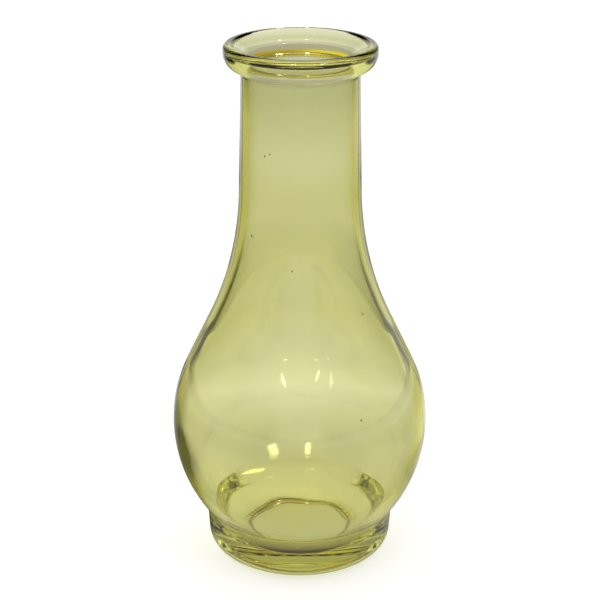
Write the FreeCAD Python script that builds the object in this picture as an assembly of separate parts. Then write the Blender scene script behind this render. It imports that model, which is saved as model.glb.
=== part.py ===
import FreeCAD, Part
import math
import os

from FreeCAD import Vector

# Glass bud vase, a pressed and blown bottle shape. Millimetres, +Z up, with the origin on the
# axis of the vase, in the surface that it stands on. The glass is one body of revolution,
# divided into sections at the levels where its outer wall changes shape.

# Overall shape of the outer wall
HEIGHT = 150.0
BULB_RADIUS = 36.4
BULB_LEVEL = 40.4
BULB_LOWER_DIP = 1.7
BULB_UPPER_ARC = 40.0
SHOULDER_ARC = 90.2
STRAIGHT_RUN = 11.15

# Hollow, and the walls round it
BORE_RADIUS = 14.2
NECK_TOP_WALL = 2.05
NECK_FOOT_WALL = 2.7
BULB_WALL = 2.3
FLOOR_EDGE_LEVEL = 6.2
FLOOR_CROWN_RISE = 0.6
FLOOR_FILLET = 1.2

# Foot, a short drum below the bulb
FOOT_RADIUS = 26.4
FOOT_FLARE = 0.53
CREASE_FILLET = 1.0
HEEL_ROUND = 6.5

# Underside: a bearing ring with short radial knurls, and a push-up inside it
BEARING_WIDTH = 2.2
BEARING_EDGE_FILLET = 0.6
KNURL_COUNT = 64
KNURL_LENGTH = 1.7
KNURL_WIDTH = 0.8
KNURL_HEIGHT = 0.25
KNURL_ROOT = 0.2
PUSH_UP_SLOPE_WIDTH = 3.1
PUSH_UP_RIM_RISE = 1.95
PUSH_UP_CROWN_RISE = 0.8

# Lip: a rolled bead round a dished mouth
LIP_OVERHANG = 4.8
LIP_SIDE = 0.97
LIP_TOP_ROUND = 1.33
LIP_UNDER_FILLET = 0.9
LIP_CROWN_WIDTH = 0.9
LIP_CROWN_FILLET = 0.87
MOUTH_SLOPE_DEG = 35.0
MOUTH_FILLET = 0.5

# The bulb's lower arc, carried on, would dip a little below the surface that the vase stands on
BULB_LOWER_ARC = BULB_LEVEL + BULB_LOWER_DIP

# The crease lies where the foot's flared side meets the lower arc of the bulb
CREASE_RADIUS = FOOT_RADIUS + FOOT_FLARE
CREASE_ACROSS = CREASE_RADIUS - BULB_RADIUS + BULB_LOWER_ARC
CREASE_LEVEL = BULB_LEVEL - math.sqrt(BULB_LOWER_ARC ** 2 - CREASE_ACROSS ** 2)

# The foot's section ends at the crease, or clear above the floor where that lies higher
FOOT_TOP_LEVEL = max(CREASE_LEVEL, FLOOR_EDGE_LEVEL + FLOOR_CROWN_RISE + FLOOR_FILLET)

# The neck's foot lies where the shoulder arc and the upper arc of the bulb leave room for
# the straight run between them, in the outer wall and in the hollow alike
ARCS_TOGETHER = BULB_UPPER_ARC + SHOULDER_ARC + max(0.0, NECK_FOOT_WALL - BULB_WALL)
CENTRES_ACROSS = BORE_RADIUS + NECK_FOOT_WALL + SHOULDER_ARC - BULB_RADIUS + BULB_UPPER_ARC
CENTRES_UP = math.sqrt(ARCS_TOGETHER ** 2 + STRAIGHT_RUN ** 2 - CENTRES_ACROSS ** 2)
NECK_FOOT_LEVEL = BULB_LEVEL + CENTRES_UP

# How far the blocks that divide the glass reach past it, and how near an edge lies to
# the circle that names it
REACH = 5.0
NEAR = 0.01


def at(radius, level):
    """Point of the profile, in the half-plane x >= 0."""
    return Vector(radius, 0, level)


def on_circle(centre, radius, degrees):
    """Point on a circle of the profile, at an angle above the horizontal."""
    angle = math.radians(degrees)
    return centre + Vector(radius * math.cos(angle), 0, radius * math.sin(angle))


def line(start, end):
    return Part.LineSegment(start, end).toShape()


def arc(centre, radius, start_deg, end_deg):
    """Arc of a circle of the profile, from one angle to another."""
    middle_deg = (start_deg + end_deg) / 2
    points = [on_circle(centre, radius, degrees) for degrees in (start_deg, middle_deg, end_deg)]
    return Part.Arc(*points).toShape()


def dome(rim, rise):
    """Shallow arc from a crown on the axis, a little above the rim, out to the rim."""
    radius = (rim.x ** 2 + rise ** 2) / (2 * rise)
    centre = at(0, rim.z + rise - radius)
    rim_deg = math.degrees(math.atan2(rim.z - centre.z, rim.x))
    return arc(centre, radius, 90, rim_deg)


class PearWall:
    """Bulb and shoulder in profile. Two arcs meet at the bulb's widest level, and a straight run
    leads from the upper one to the hollow arc of the shoulder, which ends upright at the neck."""

    def __init__(self, bulb_radius, lower_arc, upper_arc, shoulder_arc, neck_radius, start_level):
        lower_centre = at(bulb_radius - lower_arc, BULB_LEVEL)
        upper_centre = at(bulb_radius - upper_arc, BULB_LEVEL)
        shoulder_centre = at(neck_radius + shoulder_arc, NECK_FOOT_LEVEL)
        between = shoulder_centre - upper_centre
        tangent = math.atan2(between.z, between.x)
        tangent -= math.acos((upper_arc + shoulder_arc) / between.Length)
        tangent_deg = math.degrees(tangent)
        start_deg = math.degrees(math.asin((start_level - BULB_LEVEL) / lower_arc))
        run_start = on_circle(upper_centre, upper_arc, tangent_deg)
        run_end = on_circle(shoulder_centre, shoulder_arc, tangent_deg + 180)
        self.start = on_circle(lower_centre, lower_arc, start_deg)
        self.turn_level = (run_start.z + run_end.z) / 2
        self.edges = [
            arc(lower_centre, lower_arc, start_deg, 0),
            arc(upper_centre, upper_arc, 0, tangent_deg),
            line(run_start, run_end),
            arc(shoulder_centre, shoulder_arc, tangent_deg + 180, 180),
        ]


class Underside:
    """Push-up, bearing ring and heel, from the axis out to the crease above the foot's side."""

    def __init__(self, crease):
        bearing_outer = FOOT_RADIUS - HEEL_ROUND
        self.bearing_inner = bearing_outer - BEARING_WIDTH
        self.bearing_middle = bearing_outer - BEARING_WIDTH / 2
        inner_edge = at(self.bearing_inner, KNURL_HEIGHT)
        rim = at(self.bearing_inner - PUSH_UP_SLOPE_WIDTH, KNURL_HEIGHT + PUSH_UP_RIM_RISE)
        heel_centre = at(bearing_outer, KNURL_HEIGHT + HEEL_ROUND)
        self.crown = at(0, rim.z + PUSH_UP_CROWN_RISE)
        self.edges = [
            dome(rim, PUSH_UP_CROWN_RISE),
            line(rim, inner_edge),
            line(inner_edge, on_circle(heel_centre, HEEL_ROUND, -90)),
            arc(heel_centre, HEEL_ROUND, -90, 0),
            line(on_circle(heel_centre, HEEL_ROUND, 0), crease),
        ]
        self.soft_edges = [(inner_edge, BEARING_EDGE_FILLET), (crease, CREASE_FILLET)]


class Lip:
    """Neck, bead and dished mouth, from the neck's foot outside round to its foot inside."""

    def __init__(self):
        neck_top = BORE_RADIUS + NECK_TOP_WALL
        bead_centre = at(neck_top, HEIGHT - LIP_TOP_ROUND - LIP_SIDE)
        lip_radius = neck_top + LIP_OVERHANG
        between = LIP_OVERHANG + LIP_UNDER_FILLET
        meet_deg = -math.degrees(math.acos(LIP_UNDER_FILLET / between))
        fillet_centre = on_circle(bead_centre, between, meet_deg)
        top_centre = at(lip_radius - LIP_TOP_ROUND, HEIGHT - LIP_TOP_ROUND)
        crown = at(top_centre.x - LIP_CROWN_WIDTH, HEIGHT)
        mouth_depth = (crown.x - BORE_RADIUS) * math.tan(math.radians(MOUTH_SLOPE_DEG))
        bore_top = at(BORE_RADIUS, HEIGHT - mouth_depth)
        self.parting_level = fillet_centre.z
        self.edges = [
            line(at(BORE_RADIUS + NECK_FOOT_WALL, NECK_FOOT_LEVEL), at(neck_top, self.parting_level)),
            arc(fillet_centre, LIP_UNDER_FILLET, 180, 180 + meet_deg),
            arc(bead_centre, LIP_OVERHANG, meet_deg, 0),
            line(on_circle(bead_centre, LIP_OVERHANG, 0), at(lip_radius, top_centre.z)),
            arc(top_centre, LIP_TOP_ROUND, 0, 90),
            line(at(top_centre.x, HEIGHT), crown),
            line(crown, bore_top),
            line(bore_top, at(BORE_RADIUS, NECK_FOOT_LEVEL)),
        ]
        self.soft_edges = [(crown, LIP_CROWN_FILLET), (bore_top, MOUTH_FILLET)]


def soften(solid, soft_edges):
    """Round the circular edges of the solid that pass through the given points of the profile."""
    for point, fillet in soft_edges:
        circles = []
        for edge in solid.Edges:
            middle = edge.valueAt((edge.FirstParameter + edge.LastParameter) / 2)
            across = math.hypot(middle.x, middle.y) - point.x
            if math.hypot(across, middle.z - point.z) < NEAR:
                circles.append(edge)
        solid = solid.makeFillet(fillet, circles)
    return solid


def revolved_glass(underside, outer, lip, hollow):
    """The whole vase as one solid, from its underside round to its hollow."""
    floor_crown = at(0, hollow.start.z + FLOOR_CROWN_RISE)
    edges = underside.edges + outer.edges + lip.edges + hollow.edges
    edges.append(dome(hollow.start, FLOOR_CROWN_RISE))
    edges.append(line(floor_crown, underside.crown))
    outline = Part.Wire(Part.__sortEdges__(edges))
    solid = Part.Face(outline).revolve(Vector(0, 0, 0), Vector(0, 0, 1), 360)
    floor_edge = [(hollow.start, FLOOR_FILLET)]
    return soften(solid, underside.soft_edges + lip.soft_edges + floor_edge)


def layer(glass, bottom, top):
    """The glass between two levels."""
    box = glass.BoundBox
    block = Part.makeCylinder(box.DiagonalLength, top - bottom, at(0, bottom))
    return glass.common(block)


def knurl(radius):
    """One radial rib under the bearing ring, with rounded ends, rooted in the glass."""
    half = KNURL_WIDTH / 2
    straight = KNURL_LENGTH - KNURL_WIDTH
    height = KNURL_HEIGHT + KNURL_ROOT
    start = radius - straight / 2
    bar = Part.makeBox(straight, KNURL_WIDTH, height, Vector(start, -half, 0))
    inner_end = Part.makeCylinder(half, height, Vector(start, 0, 0))
    outer_end = Part.makeCylinder(half, height, Vector(start + straight, 0, 0))
    return bar.fuse([inner_end, outer_end]).removeSplitter()


def knurls(radius):
    first = knurl(radius)
    ribs = []
    for index in range(KNURL_COUNT):
        rib = first.copy()
        rib.rotate(Vector(0, 0, 0), Vector(0, 0, 1), index * 360 / KNURL_COUNT)
        ribs.append(rib)
    return ribs


def main():
    outer = PearWall(
        BULB_RADIUS,
        BULB_LOWER_ARC,
        BULB_UPPER_ARC,
        SHOULDER_ARC,
        BORE_RADIUS + NECK_FOOT_WALL,
        CREASE_LEVEL,
    )
    hollow = PearWall(
        BULB_RADIUS - BULB_WALL,
        BULB_LOWER_ARC - BULB_WALL,
        BULB_UPPER_ARC - BULB_WALL,
        SHOULDER_ARC + NECK_FOOT_WALL,
        BORE_RADIUS,
        FLOOR_EDGE_LEVEL,
    )
    underside = Underside(outer.start)
    lip = Lip()
    glass = revolved_glass(underside, outer, lip, hollow)

    foot_and_base = layer(glass, -REACH, FOOT_TOP_LEVEL)
    core = Part.makeCylinder(underside.bearing_inner, HEIGHT, at(0, -REACH))
    nodes = {
        "lip": layer(glass, lip.parting_level, HEIGHT + REACH),
        "neck": layer(glass, NECK_FOOT_LEVEL, lip.parting_level),
        "shoulder": layer(glass, outer.turn_level, NECK_FOOT_LEVEL),
        "bulb_upper": layer(glass, BULB_LEVEL, outer.turn_level),
        "bulb_lower": layer(glass, FOOT_TOP_LEVEL, BULB_LEVEL),
        "foot": foot_and_base.cut(core).fuse(knurls(underside.bearing_middle)),
        "base": foot_and_base.common(core),
    }
    os.makedirs("parts", exist_ok=True)
    for name, shape in nodes.items():
        shape.exportStep("parts/" + name + ".step")
        print(name, len(shape.Solids), round(shape.Volume, 1), shape.isValid())


main()
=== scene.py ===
import math

import bmesh
import bpy
from mathutils import Euler, Matrix, Vector, noise


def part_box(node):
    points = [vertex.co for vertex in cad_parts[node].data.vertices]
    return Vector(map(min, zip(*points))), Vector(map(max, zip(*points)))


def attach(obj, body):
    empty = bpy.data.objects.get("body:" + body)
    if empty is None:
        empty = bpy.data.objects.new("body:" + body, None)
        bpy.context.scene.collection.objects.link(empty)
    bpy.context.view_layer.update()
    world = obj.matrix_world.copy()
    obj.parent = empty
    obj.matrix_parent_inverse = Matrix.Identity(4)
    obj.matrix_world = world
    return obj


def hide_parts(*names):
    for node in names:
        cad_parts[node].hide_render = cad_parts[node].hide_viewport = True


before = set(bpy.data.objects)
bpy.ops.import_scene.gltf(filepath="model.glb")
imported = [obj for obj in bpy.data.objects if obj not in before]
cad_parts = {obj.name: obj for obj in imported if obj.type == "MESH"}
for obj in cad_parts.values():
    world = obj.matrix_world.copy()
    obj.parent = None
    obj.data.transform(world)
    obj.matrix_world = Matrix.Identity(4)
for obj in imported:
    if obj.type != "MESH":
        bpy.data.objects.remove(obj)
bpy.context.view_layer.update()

# Glass bud vase. The profile repeats the sizes of the CAD, in millimetres, and lies on its
# levels. One closed skin of glass is turned from it: outside, lip, mouth, hollow and floor. Six
# small bubbles in the wall are closed shells of their own in the same mesh.
MM = 0.001

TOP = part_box("lip")[1].z / MM
NECK_FOOT_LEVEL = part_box("neck")[0].z / MM
BULB_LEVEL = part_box("bulb_upper")[0].z / MM
CREASE_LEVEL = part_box("bulb_lower")[0].z / MM
BULB_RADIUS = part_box("bulb_lower")[1].x / MM

BULB_LOWER_ARC = 42.1
BULB_UPPER_ARC = 40.0
SHOULDER_ARC = 90.2

BORE_RADIUS = 14.2
NECK_TOP_WALL = 2.05
NECK_FOOT_WALL = 2.7
BULB_WALL = 2.3
FLOOR_EDGE_LEVEL = 6.2
FLOOR_CROWN_RISE = 0.6
FLOOR_FILLET = 1.2

FOOT_RADIUS = 26.4
CREASE_FILLET = 1.0
HEEL_ROUND = 6.5

BEARING_WIDTH = 2.2
BEARING_EDGE_FILLET = 0.6
KNURL_COUNT = 64
KNURL_LENGTH = 1.7
KNURL_WIDTH = 0.8
KNURL_HEIGHT = 0.25
KNURL_FLANK = 1.6
PUSH_UP_SLOPE_WIDTH = 3.1
PUSH_UP_RIM_RISE = 1.95
PUSH_UP_CROWN_RISE = 0.8

LIP_OVERHANG = 4.8
LIP_SIDE = 0.97
LIP_TOP_ROUND = 1.33
LIP_UNDER_FILLET = 0.9
LIP_CROWN_WIDTH = 0.9
LIP_CROWN_FILLET = 0.87
MOUTH_SLOPE_DEG = 35.0
MOUTH_FILLET = 0.5

# Spacing of the rows along the profile: on long curves, on tight rounds, and across the knurls
LONG_STEP = 1.2
TIGHT_STEP = 0.35
KNURL_STEP = 0.15
SECTORS = 192
KNURL_SECTORS = 768

# From this share of its height up, the neck has finer rows: this many to half the width of the
# parting line
FINE_NECK_FROM = 0.97
PARTING_ROWS = 3

# Search for the arc of a round: steps to its radius, how far past its ends a segment still
# counts as crossed, how nearly parallel two may be, and how far clear of the arc points are kept
ROUND_SEARCH_STEPS = 12
CROSSING_SLACK = 0.02
PARALLEL = 1e-12
CLEAR_OF_ARC = 1.02

# Faint seams of the two halves of the mould, on +X and -X, and the parting line of the lip ring
SEAM_HEIGHT = 0.05
PARTING_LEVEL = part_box("lip")[0].z / MM
PARTING_HEIGHT = 0.06
PARTING_HALF_WIDTH = 0.3


def at(radius, level):
    return Vector((radius, level))


def on_circle(centre, radius, degrees):
    angle = math.radians(degrees)
    return centre + Vector((radius * math.cos(angle), radius * math.sin(angle)))


def line(start, end, step):
    """Points from start to end, both included."""
    count = max(1, math.ceil((end - start).length / step))
    return [start.lerp(end, index / count) for index in range(count + 1)]


def arc(centre, radius, start_deg, end_deg, step):
    length = abs(math.radians(end_deg - start_deg)) * radius
    count = max(2, math.ceil(length / step))
    turn = (end_deg - start_deg) / count
    return [on_circle(centre, radius, start_deg + index * turn) for index in range(count + 1)]


def dome(rim, rise, step):
    """From a crown on the axis, a little above the rim, out to the rim."""
    radius = (rim.x ** 2 + rise ** 2) / (2 * rise)
    centre = at(0, rim.y + rise - radius)
    rim_deg = math.degrees(math.atan2(rim.y - centre.y, rim.x))
    return arc(centre, radius, 90, rim_deg, step)


def left_of(start, end):
    along = (end - start).normalized()
    return Vector((-along.y, along.x))


def offset_segments(points, distance):
    segments = []
    for start, end in zip(points, points[1:]):
        push = left_of(start, end) * distance
        segments.append((start + push, end + push))
    return segments


def crossing(first, second):
    """Where two segments cross, as a share of the first, or None."""
    a, b = first
    c, d = second
    along, other = b - a, d - c
    flat = along.cross(other)
    if abs(flat) < PARALLEL:
        return None
    share = (c - a).cross(other) / flat
    reach = (c - a).cross(along) / flat
    low, high = -CROSSING_SLACK, 1 + CROSSING_SLACK
    if low <= share <= high and low <= reach <= high:
        return share
    return None


def rounded(first, second, radius, step):
    """Two runs that meet in a corner, joined by an arc that touches both."""
    turn = (first[-1] - first[-2]).cross(second[1] - second[0])
    side = math.copysign(1, turn)
    fine_first = refined(first, radius / ROUND_SEARCH_STEPS)
    fine_second = refined(second, radius / ROUND_SEARCH_STEPS)
    firsts = offset_segments(fine_first, side * radius)
    seconds = offset_segments(fine_second, side * radius)
    for i in range(len(firsts) - 1, -1, -1):
        for j, other in enumerate(seconds):
            share = crossing(firsts[i], other)
            if share is not None:
                centre = firsts[i][0].lerp(firsts[i][1], share)
                touch_first = centre - left_of(*fine_first[i:i + 2]) * side * radius
                touch_second = centre - left_of(*fine_second[j:j + 2]) * side * radius
                return join_at(first, second, centre, radius, touch_first, touch_second, step)
    raise ValueError("no arc fits the corner")


def refined(points, step):
    """Same run with more points, no further apart than the step."""
    fine = [points[0]]
    for start, end in zip(points, points[1:]):
        fine.extend(line(start, end, step)[1:])
    return fine


def join_at(first, second, centre, radius, touch_first, touch_second, step):
    """What is left of each run, and the arc between their two touching points."""
    start = (touch_first - centre).normalized()
    end = (touch_second - centre).normalized()
    angle = math.atan2(start.cross(end), start.dot(end))
    count = max(4, math.ceil(abs(angle) * radius / step))
    corner = first[-1]
    bend = []
    for index in range(count + 1):
        turned = Matrix.Rotation(angle * index / count, 2) @ start
        bend.append(centre + turned * radius)
    reach_first = (touch_first - corner).length * CLEAR_OF_ARC
    reach_second = (touch_second - corner).length * CLEAR_OF_ARC
    kept_first = [point for point in first if (point - corner).length > reach_first]
    kept_second = [point for point in second if (point - corner).length > reach_second]
    return kept_first, bend, kept_second


def pear_wall(bulb_radius, lower_arc, upper_arc, shoulder_arc, neck_radius, start_level, step):
    """Bulb and shoulder, from the start level up to the neck's foot."""
    lower_centre = at(bulb_radius - lower_arc, BULB_LEVEL)
    upper_centre = at(bulb_radius - upper_arc, BULB_LEVEL)
    shoulder_centre = at(neck_radius + shoulder_arc, NECK_FOOT_LEVEL)
    between = shoulder_centre - upper_centre
    tangent = math.atan2(between.y, between.x)
    tangent -= math.acos((upper_arc + shoulder_arc) / between.length)
    tangent_deg = math.degrees(tangent)
    start_deg = math.degrees(math.asin((start_level - BULB_LEVEL) / lower_arc))
    run_start = on_circle(upper_centre, upper_arc, tangent_deg)
    run_end = on_circle(shoulder_centre, shoulder_arc, tangent_deg + 180)
    points = arc(lower_centre, lower_arc, start_deg, 0, step)
    points += arc(upper_centre, upper_arc, 0, tangent_deg, step)[1:]
    points += line(run_start, run_end, step)[1:]
    points += arc(shoulder_centre, shoulder_arc, tangent_deg + 180, 180, step)[1:]
    return points


def vase_profile():
    """Points of the profile from the axis below round to the axis above, glass on the left, and
    the numbers of the first and last row that the knurls cover."""
    bearing_outer = FOOT_RADIUS - HEEL_ROUND
    bearing_inner = bearing_outer - BEARING_WIDTH
    inner_edge = at(bearing_inner, KNURL_HEIGHT)
    rim = at(bearing_inner - PUSH_UP_SLOPE_WIDTH, KNURL_HEIGHT + PUSH_UP_RIM_RISE)
    heel_centre = at(bearing_outer, KNURL_HEIGHT + HEEL_ROUND)

    neck_foot = BORE_RADIUS + NECK_FOOT_WALL
    outer = pear_wall(
        BULB_RADIUS, BULB_LOWER_ARC, BULB_UPPER_ARC, SHOULDER_ARC, neck_foot, CREASE_LEVEL, LONG_STEP
    )
    hollow = pear_wall(
        BULB_RADIUS - BULB_WALL, BULB_LOWER_ARC - BULB_WALL, BULB_UPPER_ARC - BULB_WALL,
        SHOULDER_ARC + NECK_FOOT_WALL, BORE_RADIUS, FLOOR_EDGE_LEVEL, LONG_STEP
    )

    neck_top = BORE_RADIUS + NECK_TOP_WALL
    bead_centre = at(neck_top, TOP - LIP_TOP_ROUND - LIP_SIDE)
    lip_radius = neck_top + LIP_OVERHANG
    between = LIP_OVERHANG + LIP_UNDER_FILLET
    meet_deg = -math.degrees(math.acos(LIP_UNDER_FILLET / between))
    fillet_centre = on_circle(bead_centre, between, meet_deg)
    top_centre = at(lip_radius - LIP_TOP_ROUND, TOP - LIP_TOP_ROUND)
    crown = at(top_centre.x - LIP_CROWN_WIDTH, TOP)
    mouth_depth = (crown.x - BORE_RADIUS) * math.tan(math.radians(MOUTH_SLOPE_DEG))
    bore_top = at(BORE_RADIUS, TOP - mouth_depth)

    push_up = dome(rim, PUSH_UP_CROWN_RISE, LONG_STEP) + line(rim, inner_edge, TIGHT_STEP)[1:]
    bearing = line(inner_edge, at(bearing_outer, KNURL_HEIGHT), KNURL_STEP)
    push_up, edge_bend, bearing = rounded(push_up, bearing, BEARING_EDGE_FILLET, KNURL_STEP)
    heel = arc(heel_centre, HEEL_ROUND, -90, 0, 2 * TIGHT_STEP)
    side = line(heel[-1], outer[0], 2 * TIGHT_STEP)
    side, crease_bend, outer = rounded(side, outer, CREASE_FILLET, TIGHT_STEP)

    neck_end = at(neck_top, fillet_centre.y)
    below_mark = at(neck_foot, NECK_FOOT_LEVEL).lerp(neck_end, FINE_NECK_FROM)
    neck = line(at(neck_foot, NECK_FOOT_LEVEL), below_mark, LONG_STEP)
    neck += line(below_mark, neck_end, PARTING_HALF_WIDTH / PARTING_ROWS)[1:]
    lip = arc(fillet_centre, LIP_UNDER_FILLET, 180, 180 + meet_deg, TIGHT_STEP)[1:]
    lip += arc(bead_centre, LIP_OVERHANG, meet_deg, 0, TIGHT_STEP)[1:]
    lip += line(lip[-1], at(lip_radius, top_centre.y), TIGHT_STEP)[1:]
    lip += arc(top_centre, LIP_TOP_ROUND, 0, 90, TIGHT_STEP)[1:]
    lip += line(at(top_centre.x, TOP), crown, TIGHT_STEP)[1:]
    cone = line(crown, bore_top, TIGHT_STEP)
    bore = line(bore_top, at(BORE_RADIUS, NECK_FOOT_LEVEL), LONG_STEP)
    lip, crown_bend, cone = rounded(lip, cone, LIP_CROWN_FILLET, TIGHT_STEP / 2)
    cone, mouth_bend, bore = rounded(cone, bore, MOUTH_FILLET, TIGHT_STEP)

    inside = hollow[::-1]
    floor = dome(hollow[0], FLOOR_CROWN_RISE, LONG_STEP)[::-1]
    inside, floor_bend, floor = rounded(inside, floor, FLOOR_FILLET, TIGHT_STEP)

    points = push_up + edge_bend
    first_knurl = len(points) - 2
    points += bearing + heel[1:4]
    last_knurl = len(points)
    points += heel[4:] + side[1:] + crease_bend + outer + neck[1:] + lip
    points += crown_bend + cone + mouth_bend + bore + inside[1:] + floor_bend + floor
    return points, first_knurl, last_knurl


def smooth_step(share):
    share = min(1.0, max(0.0, share))
    return share * share * (3 - 2 * share)


def knurl_drop(radius, turn):
    """How far the underside drops at a knurl, the ring of them counted in turns."""
    middle = FOOT_RADIUS - HEEL_ROUND - BEARING_WIDTH / 2
    pitch = 1 / KNURL_COUNT
    across = (turn - round(turn / pitch) * pitch) * 2 * math.pi * radius
    along = max(0.0, abs(radius - middle) - (KNURL_LENGTH - KNURL_WIDTH) / 2)
    away = math.hypot(across, along) / (KNURL_WIDTH / 2)
    return KNURL_HEIGHT * smooth_step(KNURL_FLANK * (1 - away))


def mould_mark(level, turn):
    """How far a seam or the parting line stands out of the outside wall."""
    height = 0.0
    if HEEL_ROUND < level < PARTING_LEVEL and turn % 0.5 == 0:
        height = SEAM_HEIGHT
    away = abs(level - PARTING_LEVEL) / PARTING_HALF_WIDTH
    return max(height, PARTING_HEIGHT * smooth_step(1 - away))


# Seeds, the small gas bubbles in the front wall: bearing from the front toward +X in degrees,
# level and diameter
SEEDS = (
    (-36.2, 122.3, 0.48),
    (-30.5, 123.1, 0.40),
    (-50.2, 99.0, 0.62),
    (-6.9, 91.4, 0.46),
    (49.5, 77.6, 0.48),
    (29.6, 52.4, 0.50),
)
SEED_DEPTH = 1.0
SEED_STRETCH = 1.3
SEED_SUBDIVISIONS = 3


def add_seed(shell, outer_radius, bearing_deg, level, diameter):
    """A small closed bubble, its faces turned to the gas inside it."""
    bearing = math.radians(bearing_deg)
    radius = outer_radius - SEED_DEPTH
    place = Matrix.Translation(Vector((math.sin(bearing), -math.cos(bearing), 0)) * radius * MM)
    place = Matrix.Translation((0, 0, level * MM)) @ place @ Matrix.Diagonal((1, 1, SEED_STRETCH, 1))
    made = bmesh.ops.create_icosphere(
        shell, subdivisions=SEED_SUBDIVISIONS, radius=diameter / 2 * MM, matrix=place
    )
    faces = {face for vertex in made["verts"] for face in vertex.link_faces}
    bmesh.ops.reverse_faces(shell, faces=list(faces))


def radius_at(profile, level):
    """Radius of the outside wall of the profile at a level."""
    top = max(range(len(profile)), key=lambda index: profile[index].y)
    for below, above in zip(profile[:top], profile[1:top]):
        if below.y <= level < above.y and below.x > BORE_RADIUS:
            return below.lerp(above, (level - below.y) / (above.y - below.y)).x
    raise ValueError("no wall at this level")


# Blown inside wall: slow waves in its thickness, in the lower bulb only. They start and end at
# these levels and reach or leave their full depth within these runs.
WAVE_DEPTH = 0.10
WAVE_SIZE = 9.0
WAVE_SQUEEZE = 1.3
WAVE_START = 14
WAVE_START_RUN = 12
WAVE_END = 58
WAVE_END_RUN = 16


def wave(radius, level, turn):
    angle = 2 * math.pi * turn
    spot = Vector((radius * math.cos(angle), radius * math.sin(angle), level * WAVE_SQUEEZE))
    spot = spot / WAVE_SIZE
    strength = smooth_step((level - WAVE_START) / WAVE_START_RUN)
    strength = strength * smooth_step((WAVE_END - level) / WAVE_END_RUN)
    return WAVE_DEPTH * strength * noise.noise(spot)


def glass_mesh():
    profile, first_knurl, last_knurl = vase_profile()
    inside_from = max(range(len(profile)), key=lambda index: profile[index].y)
    count = len(profile)
    vertices = []
    rows = []
    for index, point in enumerate(profile):
        if index == 0 or index == count - 1:
            rows.append([len(vertices)])
            vertices.append((0.0, 0.0, point.y * MM))
            continue
        knurled = first_knurl <= index <= last_knurl
        sectors = KNURL_SECTORS if knurled else SECTORS
        row = []
        before, after = profile[index - 1], profile[index + 1]
        across = left_of(before, after)
        for sector in range(sectors):
            turn = sector / sectors
            radius, level = point
            if knurled and level < 2 * KNURL_HEIGHT:
                level -= knurl_drop(radius, turn)
            if index > inside_from:
                push = across * wave(radius, level, turn)
                radius += push.x
                level += push.y
            elif not knurled:
                radius += mould_mark(level, turn)
            angle = 2 * math.pi * turn
            row.append(len(vertices))
            vertices.append((radius * math.cos(angle) * MM, radius * math.sin(angle) * MM, level * MM))
        rows.append(row)
    faces = []
    for lower, upper in zip(rows, rows[1:]):
        faces.extend(strip(lower, upper))
    mesh = bpy.data.meshes.new("vase_glass")
    mesh.from_pydata(vertices, [], faces)
    mesh.validate()
    shell = bmesh.new()
    shell.from_mesh(mesh)
    for bearing, level, diameter in SEEDS:
        add_seed(shell, radius_at(profile, level), bearing, level, diameter)
    shell.to_mesh(mesh)
    shell.free()
    mesh.polygons.foreach_set("use_smooth", [True] * len(mesh.polygons))
    return mesh


def strip(lower, upper):
    """Faces between two rows, of the same number of points, or of one point, or of a multiple."""
    faces = []
    if len(lower) == 1:
        for index in range(len(upper)):
            faces.append((lower[0], upper[index - 1], upper[index])[::-1])
        return faces
    if len(upper) == 1:
        for index in range(len(lower)):
            faces.append((upper[0], lower[index], lower[index - 1])[::-1])
        return faces
    if len(lower) == len(upper):
        for index in range(len(lower)):
            faces.append((lower[index - 1], lower[index], upper[index], upper[index - 1]))
        return faces
    if len(upper) > len(lower):
        fine, coarse, flip = upper, lower, True
    else:
        fine, coarse, flip = lower, upper, False
    share = len(fine) // len(coarse)
    for index in range(len(coarse)):
        start = index * share
        following = coarse[(index + 1) % len(coarse)]
        half = share // 2
        ring = [fine[(start + step) % len(fine)] for step in range(share + 1)]
        for step in range(share):
            apex = coarse[index] if step < half else following
            face = (ring[step], ring[step + 1], apex)
            faces.append(face[::-1] if flip else face)
        face = (coarse[index], ring[half], following)
        faces.append(face[::-1] if flip else face)
    return faces


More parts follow.
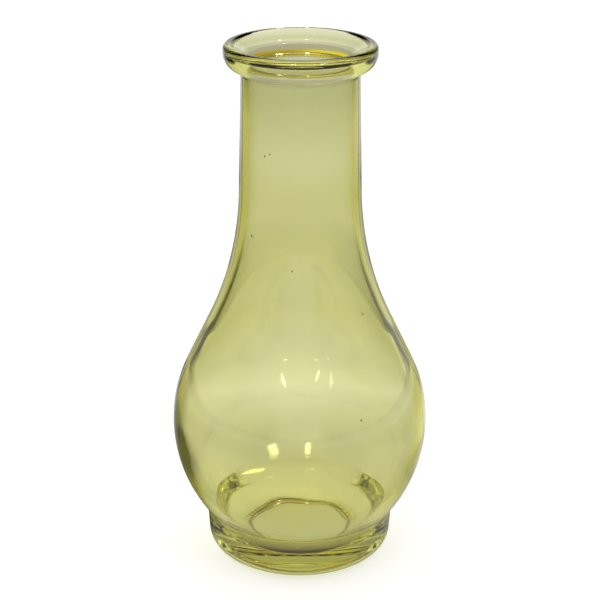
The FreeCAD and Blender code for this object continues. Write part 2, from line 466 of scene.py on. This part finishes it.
# ---------------------------------------------------------------- shader nodes
class Graph:
    """Short names for the nodes of one material or world."""

    def __init__(self, tree):
        self.nodes = tree.nodes
        self.links = tree.links
        self.nodes.clear()

    def node(self, kind, **settings):
        made = self.nodes.new(kind)
        for name, value in settings.items():
            setattr(made, name, value)
        return made

    def feed(self, socket, value):
        if isinstance(value, bpy.types.NodeSocket):
            self.links.new(value, socket)
        else:
            socket.default_value = value

    def noise(self, coords, scale, detail):
        made = self.node("ShaderNodeTexNoise")
        self.feed(made.inputs["Vector"], coords)
        self.feed(made.inputs["Scale"], scale)
        self.feed(made.inputs["Detail"], detail)
        return made.outputs["Fac"]

    def math(self, operation, *values):
        made = self.node("ShaderNodeMath", operation=operation)
        for socket, value in zip(made.inputs, values):
            self.feed(socket, value)
        return made.outputs[0]

    def ramp(self, value, low, high, from_value, to_value):
        """value, taken smoothly from low..high to from_value..to_value."""
        made = self.node("ShaderNodeMapRange", interpolation_type="SMOOTHSTEP")
        for socket, number in zip(made.inputs, (value, low, high, from_value, to_value)):
            self.feed(socket, number)
        return made.outputs[0]

    def between(self, share, first, second):
        gap = self.math("SUBTRACT", second, first)
        return self.math("MULTIPLY_ADD", gap, share, first)

    def levels(self, value, places, levels):
        """Level reached at each place, straight between the places."""
        result = levels[0]
        for index in range(1, len(places)):
            low, high = places[index - 1], places[index]
            rise = levels[index] - levels[index - 1]
            made = self.node("ShaderNodeMapRange")
            for socket, number in zip(made.inputs, (value, low, high, 0.0, rise)):
                self.feed(socket, number)
            result = self.math("ADD", made.outputs[0], result)
        return result

    def tinted(self, value, tint):
        made = self.node("ShaderNodeCombineColor")
        for socket, share in zip(made.inputs, tint):
            self.feed(socket, self.math("MULTIPLY", value, share))
        return made.outputs[0]

    def blend(self, share, first, second):
        """Colour between two colours."""
        made = self.node("ShaderNodeMix", data_type="RGBA")
        for name, value in (("Factor", share), ("A", first), ("B", second)):
            self.feed(made.inputs[name], value)
        return made.outputs["Result"]

    def ray_kinds(self):
        """1 for rays of camera, gloss and glass, for those seen through glass alone, for those
        mirrored on the outside, and for those turned back inside."""
        path = self.node("ShaderNodeLightPath")
        seen = self.math("MAXIMUM", path.outputs["Is Camera Ray"], path.outputs["Is Glossy Ray"])
        seen = self.math("MAXIMUM", seen, path.outputs["Is Transmission Ray"])
        turned = self.math("MINIMUM", path.outputs["Glossy Depth"], 1.0)
        inner = self.math("MINIMUM", path.outputs["Transmission Depth"], 1.0)
        return seen, turned, inner


# ---------------------------------------------------------------- material
BODY_TINT = (0.825, 0.825, 0.570, 1.0)
ABSORB_COLOUR = (0.875, 0.87, 0.54, 1.0)
ABSORB_DENSITY = 48.0
GLASS_IOR = 1.52
# What the glass lets through for shadow rays, which don't refract
SHADOW_TINT = (0.96, 0.96, 0.94, 1.0)
# Fire-polished surface: roughness where the polish is weakest, the noise values between which it
# sets in, and the depth of a faint swell
POLISH_LOSS = 0.012
POLISH_FROM = 0.35
POLISH_TO = 0.75
POLISH_SCALE = 60.0
POLISH_DETAIL = 4.0
SWELL_DEPTH = 0.00002
SWELL_SCALE = 110.0
SWELL_DETAIL = 1.0


def glass_material():
    material = bpy.data.materials.new("yellow_green_glass")
    material.use_nodes = True
    graph = Graph(material.node_tree)
    out = graph.node("ShaderNodeOutputMaterial")
    glass = graph.node("ShaderNodeBsdfPrincipled")
    glass.inputs["Base Color"].default_value = BODY_TINT
    glass.inputs["IOR"].default_value = GLASS_IOR
    glass.inputs["Transmission Weight"].default_value = 1.0
    coords = graph.node("ShaderNodeTexCoord").outputs["Object"]
    polish = graph.noise(coords, POLISH_SCALE, POLISH_DETAIL)
    gloss = graph.node("ShaderNodeMapRange")
    graph.feed(gloss.inputs["Value"], polish)
    graph.feed(gloss.inputs["From Min"], POLISH_FROM)
    graph.feed(gloss.inputs["From Max"], POLISH_TO)
    graph.feed(gloss.inputs["To Max"], POLISH_LOSS)
    graph.feed(glass.inputs["Roughness"], gloss.outputs[0])
    bump = graph.node("ShaderNodeBump")
    graph.feed(bump.inputs["Strength"], 1.0)
    graph.feed(bump.inputs["Distance"], SWELL_DEPTH)
    graph.feed(bump.inputs["Height"], graph.noise(coords, SWELL_SCALE, SWELL_DETAIL))
    graph.feed(glass.inputs["Normal"], bump.outputs[0])
    clear = graph.node("ShaderNodeBsdfTransparent")
    clear.inputs["Color"].default_value = SHADOW_TINT
    mix = graph.node("ShaderNodeMixShader")
    graph.feed(mix.inputs[0], graph.node("ShaderNodeLightPath").outputs["Is Shadow Ray"])
    graph.feed(mix.inputs[1], glass.outputs[0])
    graph.feed(mix.inputs[2], clear.outputs[0])
    graph.feed(out.inputs["Surface"], mix.outputs[0])
    absorb = graph.node("ShaderNodeVolumeAbsorption")
    absorb.inputs["Color"].default_value = ABSORB_COLOUR
    absorb.inputs["Density"].default_value = ABSORB_DENSITY
    graph.feed(out.inputs["Volume"], absorb.outputs[0])
    return material


vase = bpy.data.objects.new("vase_glass", glass_mesh())
bpy.context.scene.collection.objects.link(vase)
vase.data.materials.append(glass_material())
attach(vase, "root")
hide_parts("lip", "neck", "shoulder", "bulb_upper", "bulb_lower", "foot", "base")


# ---------------------------------------------------------------- studio
# The vase stands on a matt white board under a white sky. Light Path lifts the board toward the white
# of the background, for the camera and in the glass. Glass shows it and the sky at the levels below,
# which are painted light and shade: a painted shadow around the foot, painted reflections of dark
# surroundings, and lighter and darker patches, seen straight through, mirrored on the outside, and
# turned back by a surface inside the glass.
FLOOR_COLOUR = 0.86
FLOOR_RADIUS = 6.0
LIFT_NEAR = 0.34
LIFT_FAR = 0.36
LIFT_START = 0.10
LIFT_END = 0.60
FLOOR_SECTORS = 96
# The board lies this far below the foot, so that the two faces don't coincide
FLOOR_GAP = 0.00005

# Where these levels come from: a scratch program first solved them against the photograph's
# colours by least squares, and they were then split finer and changed by hand. They suit one
# camera and one picture and aren't measured. A real board can't show different levels in
# different reflections.
#
# Distances from the axis on the board, and the shares of white that glass shows there, as painted
# light and shade. Seen through it: with a factor on blue, darker around the foot as a painted shadow.
# Mirrored on its outside: by bearing from the back toward +X with a factor by distance, dark at the
# left back as a painted reflection of dark surroundings. Turned back inside it: by quarter of the
# board and with factors on red and blue.
THROUGH_PLACES = (0.024, 0.040, 0.080, 0.125, 0.160, 0.200, 0.275, 0.360, 0.460)
THROUGH = (0.90, 0.70, 0.75, 1.03, 0.86, 0.83, 0.72, 0.82, 0.63)
THROUGH_BLUES = (1.00, 0.90, 1.05, 1.16, 1.05, 0.98, 0.86, 1.06, 1.00)
MIRRORED_BEARINGS = (-180, -100, -75, -55, -42, -25, 25, 45, 65, 100, 180)
MIRRORED = (0.72, 0.50, 0.05, 0.10, 0.30, 1.00, 1.00, 0.80, 0.40, 0.60, 0.72)
MIRRORED_PLACES = (0.12, 0.20, 0.36, 0.46)
MIRRORED_SHARES = (1.00, 0.25, 0.25, 0.90)
TURNED_PLACES = (0.010, 0.020, 0.030, 0.045, 0.060, 0.10, 0.16, 0.30, 0.42, 0.56)
TURNED_NEAR = (0.05, 0.60, 0.70)
TURNED_FAR = (0.56, 0.56, 0.08)
TURNED_LEFT_BACK = TURNED_NEAR + (0.40, 0.17, 0.10, 0.50) + TURNED_FAR
TURNED_RIGHT_BACK = TURNED_NEAR + (0.50, 0.38, 0.74, 0.70) + TURNED_FAR
TURNED_LEFT_FRONT = TURNED_NEAR + (0.85, 0.90, 0.85, 0.50) + TURNED_FAR
TURNED_RIGHT_FRONT = TURNED_NEAR + (0.80, 0.85, 0.72, 0.66) + TURNED_FAR
TURNED_BLUES = (0.60, 0.60, 0.50, 0.22, 0.15, 0.33, 0.42, 0.45, 0.36, 0.12)
TURNED_RED = 1.04
SIDES_BLEND = 0.02


def seen_painted_levels(graph, turned, inner, through, mirrored, inside):
    """White for the camera, and the three painted colours of light and shade that glass shows."""
    clear = graph.blend(inner, (1.0, 1.0, 1.0, 1.0), through)
    mirror = graph.tinted(mirrored, (1.0, 1.0, 1.0))
    return graph.blend(turned, clear, graph.blend(inner, mirror, inside))


def floor_material():
    material = bpy.data.materials.new("pale_floor")
    material.use_nodes = True
    graph = Graph(material.node_tree)
    seen, turned, inner = graph.ray_kinds()
    coords = graph.node("ShaderNodeTexCoord")
    split = graph.node("ShaderNodeSeparateXYZ")
    graph.feed(split.inputs[0], coords.outputs["Object"])
    x, y = split.outputs["X"], split.outputs["Y"]
    squares = graph.math("ADD", graph.math("MULTIPLY", x, x), graph.math("MULTIPLY", y, y))
    away = graph.math("SQRT", squares)
    right = graph.ramp(x, -SIDES_BLEND, SIDES_BLEND, 0.0, 1.0)
    front = graph.ramp(y, -SIDES_BLEND, SIDES_BLEND, 1.0, 0.0)

    def quarters(places, left_back, right_back, left_front, right_front):
        backs = [graph.levels(away, places, levels) for levels in (left_back, right_back)]
        fronts = [graph.levels(away, places, levels) for levels in (left_front, right_front)]
        return graph.between(front, graph.between(right, *backs), graph.between(right, *fronts))

    # Painted light and shade, which only glass shows: the camera sees the board white, with its real
    # shadow
    through = graph.levels(away, THROUGH_PLACES, THROUGH)
    through = graph.tinted(through, (1.0, 1.0, graph.levels(away, THROUGH_PLACES, THROUGH_BLUES)))
    bearing = graph.math("DEGREES", graph.math("ARCTAN2", x, y))
    mirrored = graph.levels(bearing, MIRRORED_BEARINGS, MIRRORED)
    mirrored = graph.math("MULTIPLY", mirrored, graph.levels(away, MIRRORED_PLACES, MIRRORED_SHARES))
    inside = quarters(
        TURNED_PLACES, TURNED_LEFT_BACK, TURNED_RIGHT_BACK, TURNED_LEFT_FRONT, TURNED_RIGHT_FRONT
    )
    inside = graph.tinted(inside, (TURNED_RED, 1.0, graph.levels(away, TURNED_PLACES, TURNED_BLUES)))
    shade = seen_painted_levels(graph, turned, inner, through, mirrored, inside)
    matt = graph.node("ShaderNodeBsdfDiffuse")
    board = graph.node("ShaderNodeMix", data_type="RGBA", blend_type="MULTIPLY")
    graph.feed(board.inputs["Factor"], 1.0)
    graph.feed(board.inputs["A"], shade)
    graph.feed(board.inputs["B"], (FLOOR_COLOUR, FLOOR_COLOUR, FLOOR_COLOUR, 1.0))
    graph.feed(matt.inputs["Color"], board.outputs["Result"])
    lift = graph.node("ShaderNodeEmission")
    graph.feed(lift.inputs["Color"], shade)
    strength = graph.ramp(away, LIFT_START, LIFT_END, LIFT_NEAR, LIFT_FAR)
    graph.feed(lift.inputs["Strength"], graph.math("MULTIPLY", strength, seen))
    total = graph.node("ShaderNodeAddShader")
    graph.feed(total.inputs[0], matt.outputs[0])
    graph.feed(total.inputs[1], lift.outputs[0])
    out = graph.node("ShaderNodeOutputMaterial")
    graph.feed(out.inputs["Surface"], total.outputs[0])
    return material


def floor_mesh():
    vertices = [(0.0, 0.0, 0.0)]
    for index in range(FLOOR_SECTORS):
        angle = 2 * math.pi * index / FLOOR_SECTORS
        vertices.append((FLOOR_RADIUS * math.cos(angle), FLOOR_RADIUS * math.sin(angle), 0.0))
    faces = [(0, i + 1, (i + 1) % FLOOR_SECTORS + 1) for i in range(FLOOR_SECTORS)]
    mesh = bpy.data.meshes.new("floor")
    mesh.from_pydata(vertices, [], faces)
    return mesh


floor = bpy.data.objects.new("floor", floor_mesh())
floor.location.z = -FLOOR_GAP
bpy.context.scene.collection.objects.link(floor)
floor.data.materials.append(floor_material())


# ---------------------------------------------------------------- light
# The sky lights the board evenly. Glass shows it at the levels below, which come from the same fit as
# the board's. They are painted light and shade: grey straight through; brighter high at the front, and
# painted amber at the top, when turned back inside; dark at the sides and high at the back when
# mirrored outside. A direction is split by height z, by side x and by depth y, from -1 to 1.
WORLD_LIGHT = 0.85
SKY_THROUGH = 0.52
SKY_LOW = (0.95, 1.05)
SKY_MIRRORED_SIDES = 0.12
SKY_MIRRORED_MIDDLE = 0.85
SKY_HIGH_MIRRORED = (0.75, 0.0)
SKY_FRONT = 1.10
SKY_BACK = 0.55
SKY_SIDE = 0.32
SKY_BLUE = 0.60
SKY_TOP_LEFT = (1.05, 0.85, 0.10, 1.0)
SKY_TOP_RIGHT = (0.62, 0.42, 0.02, 1.0)
# Where one level of the sky passes into the next
UPPER_BLEND = (0.32, 0.46)
DEPTH_BLEND = (-0.25, 0.25)
SIDE_BLEND = (0.30, 0.60)
LOW_BLEND = (-0.3, 0.3)
TOP_SIDE_BLEND = (-0.25, 0.15)
TOP_BLEND = (0.66, 0.80)
MIRRORED_SIDE_BLEND = (0.2, 0.5)


def build_world():
    world = bpy.data.worlds.new("studio")
    bpy.context.scene.world = world
    world.use_nodes = True
    graph = Graph(world.node_tree)
    seen, turned, inner = graph.ray_kinds()
    coords = graph.node("ShaderNodeTexCoord")
    split = graph.node("ShaderNodeSeparateXYZ")
    graph.feed(split.inputs[0], coords.outputs["Generated"])
    x, y, z = split.outputs
    # Painted light and shade, which only glass shows: the camera sees the sky white, and the board is
    # lit by it at WORLD_LIGHT
    sideways = graph.math("ABSOLUTE", x)
    upper = graph.ramp(z, *UPPER_BLEND, 0.0, 1.0)
    high = graph.ramp(y, *DEPTH_BLEND, SKY_FRONT, SKY_BACK)
    high = graph.between(graph.ramp(sideways, *SIDE_BLEND, 0.0, 1.0), high, SKY_SIDE)
    inside = graph.between(upper, graph.ramp(x, *LOW_BLEND, *SKY_LOW), high)
    inside = graph.tinted(inside, (1.0, 1.0, SKY_BLUE))
    top = graph.blend(graph.ramp(x, *TOP_SIDE_BLEND, 0.0, 1.0), SKY_TOP_LEFT, SKY_TOP_RIGHT)
    inside = graph.blend(graph.ramp(z, *TOP_BLEND, 0.0, 1.0), inside, top)
    low = graph.ramp(sideways, *MIRRORED_SIDE_BLEND, SKY_MIRRORED_MIDDLE, SKY_MIRRORED_SIDES)
    mirrored = graph.between(upper, low, graph.ramp(y, *DEPTH_BLEND, *SKY_HIGH_MIRRORED))
    through = (SKY_THROUGH, SKY_THROUGH, SKY_THROUGH, 1.0)
    shade = seen_painted_levels(graph, turned, inner, through, mirrored, inside)
    back = graph.node("ShaderNodeBackground")
    light = (WORLD_LIGHT, WORLD_LIGHT, WORLD_LIGHT, 1.0)
    graph.feed(back.inputs["Color"], graph.blend(seen, light, shade))
    out = graph.node("ShaderNodeOutputWorld")
    graph.feed(out.inputs["Surface"], back.outputs[0])


def softbox(name, azimuth, elevation, size, power):
    """Rectangular lamp aimed at the bulb, azimuth counted from the front toward +X."""
    lamp = bpy.data.lights.new(name, "AREA")
    lamp.shape = "RECTANGLE"
    lamp.size, lamp.size_y = size
    lamp.energy = power
    aim = Vector((0, 0, BULB_LEVEL * MM))
    around, up = math.radians(azimuth), math.radians(elevation)
    away = Vector((math.sin(around) * math.cos(up), -math.cos(around) * math.cos(up), math.sin(up)))
    holder = bpy.data.objects.new(name, lamp)
    holder.location = aim + away * LAMP_DISTANCE
    holder.rotation_euler = (-away).to_track_quat("-Z", "Y").to_euler()
    bpy.context.scene.collection.objects.link(holder)


# Azimuth and elevation in degrees, width and height in metres, power in watts. The places were
# found by trial, to put highlights where the photograph has them.
LAMP_DISTANCE = 1.1
LAMPS = {
    "softbox_left": (-12.0, 44.7, (0.10, 0.16), 0.80),
    "softbox_right": (38.5, 43.0, (0.19, 0.16), 1.40),
    "strip_left": (-19.2, 32.95, (0.100, 0.0060), 0.056),
    "strip_middle": (22.0, 32.90, (0.100, 0.0070), 0.065),
    "strip_right": (36.9, 31.2, (0.080, 0.0100), 0.016),
}

build_world()
for name, (azimuth, elevation, size, power) in LAMPS.items():
    softbox(name, azimuth, elevation, size, power)


# ---------------------------------------------------------------- camera
CAMERA_PLACE = (0.0, -0.500, 0.26758)
CAMERA_DOWN_DEG = 20.938
CAMERA_ROLL_DEG = 0.142
CAMERA_LENS = 113.89
CAMERA_SENSOR = 36.0
CAMERA_CLIP = 0.01
# Enough bounces for light to cross both walls and to turn back inside them
GLASS_BOUNCES = 32
GLOSSY_BOUNCES = 16

camera_data = bpy.data.cameras.new("camera")
camera_data.lens = CAMERA_LENS
camera_data.sensor_width = CAMERA_SENSOR
camera_data.clip_start = CAMERA_CLIP
camera = bpy.data.objects.new("camera", camera_data)
turned = Euler((math.radians(90 - CAMERA_DOWN_DEG), 0, 0)).to_matrix()
turned = turned @ Matrix.Rotation(math.radians(CAMERA_ROLL_DEG), 3, "Z")
camera.matrix_world = Matrix.Translation(CAMERA_PLACE) @ turned.to_4x4()
bpy.context.scene.collection.objects.link(camera)
bpy.context.scene.camera = camera

scene = bpy.context.scene
scene.view_settings.view_transform = "Standard"
scene.cycles.max_bounces = GLASS_BOUNCES
scene.cycles.transmission_bounces = GLASS_BOUNCES
scene.cycles.glossy_bounces = GLOSSY_BOUNCES
scene.cycles.transparent_max_bounces = GLASS_BOUNCES
